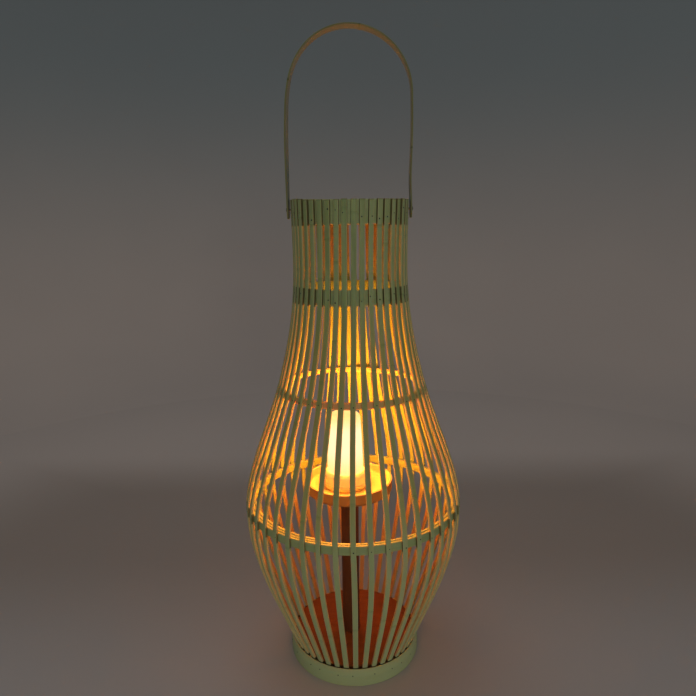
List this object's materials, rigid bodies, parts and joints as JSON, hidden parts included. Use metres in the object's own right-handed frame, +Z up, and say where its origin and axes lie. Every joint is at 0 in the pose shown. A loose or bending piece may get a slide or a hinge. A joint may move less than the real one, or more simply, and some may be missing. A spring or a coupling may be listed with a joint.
{
  "type": "bamboo slat floor lantern",
  "caption": "Tall vase-shaped floor lantern of upright painted bamboo slats nailed over hoops, with a bail handle and a battery lamp on a tray and post.",
  "frame": {"origin": "centre of the underside, on the surface that the lantern stands on", "axes": "+Z up; -Y is the front; the handle's pivots are at -X and +X"},
  "size_m": [0.3834, 0.3834, 1.087],
  "materials": {
    "painted_bamboo": "matt sage green paint, worn pale along the edges",
    "light_wood": "oiled wood",
    "dark_wood": "stained wood",
    "nail_steel": "dull",
    "cream_plastic": "satin",
    "glowing_diffuser": "frosted, lit from inside",
    "led_module": "satin",
    "knob_plastic": "satin"
  },
  "bodies": {
    "lantern": {"slat_01": "painted_bamboo", "slat_02": "painted_bamboo", "slat_03": "painted_bamboo", "slat_04": "painted_bamboo", "slat_05": "painted_bamboo", "slat_06": "painted_bamboo", "slat_07": "painted_bamboo", "slat_08": "painted_bamboo", "slat_09": "painted_bamboo", "slat_10": "painted_bamboo", "slat_11": "painted_bamboo", "slat_12": "painted_bamboo", "slat_13": "painted_bamboo", "slat_14": "painted_bamboo", "slat_15": "painted_bamboo", "slat_16": "painted_bamboo", "slat_17": "painted_bamboo", "slat_18": "painted_bamboo", "slat_19": "painted_bamboo", "slat_20": "painted_bamboo", "slat_21": "painted_bamboo", "slat_22": "painted_bamboo", "slat_23": "painted_bamboo", "slat_24": "painted_bamboo", "slat_25": "painted_bamboo", "slat_26": "painted_bamboo", "slat_27": "painted_bamboo", "slat_28": "painted_bamboo", "slat_29": "painted_bamboo", "slat_30": "painted_bamboo", "slat_31": "painted_bamboo", "slat_32": "painted_bamboo", "slat_33": "painted_bamboo", "slat_34": "painted_bamboo", "slat_35": "painted_bamboo", "slat_36": "painted_bamboo", "slat_37": "painted_bamboo", "slat_38": "painted_bamboo", "slat_39": "painted_bamboo", "slat_40": "painted_bamboo", "slat_41": "painted_bamboo", "slat_42": "painted_bamboo", "slat_43": "painted_bamboo", "slat_44": "painted_bamboo", "rim_hoop": "painted_bamboo", "neck_hoop": "painted_bamboo", "shoulder_hoop": "painted_bamboo", "belly_hoop": "painted_bamboo", "base_band": "painted_bamboo", "base_disc": "dark_wood", "post": "dark_wood", "tray": "light_wood", "handle_pin_left": "nail_steel", "handle_pin_right": "nail_steel"},
    "handle": {"handle": "painted_bamboo"},
    "lamp": {"lamp_housing": "cream_plastic", "lamp_diffuser": "glowing_diffuser", "led_module": "led_module"},
    "battery_cover": {"battery_cover": "cream_plastic"},
    "switch": {"switch_knob": "knob_plastic"}
  },
  "joints": [
    {"name": "handle_swing", "type": "hinge", "parent": "lantern", "child": "handle", "pos_m": [0, 0, 0.807], "axis": [1, 0, 0], "range_deg": [-148, 148]},
    {"name": "lamp_lift", "type": "slide", "parent": "lantern", "child": "lamp", "axis": [0, 0, 1], "range_m": [0, 0.51]},
    {"name": "battery_cover_twist", "type": "hinge", "parent": "lamp", "child": "battery_cover", "pos_m": [-0.013, -0.003, 0.3233], "axis": [0, 0, 1], "range_deg": [0, 25]},
    {"name": "switch_slide", "type": "slide", "parent": "lamp", "child": "switch", "axis": [1, 0, 0], "range_m": [0, 0.004]}
  ]
}
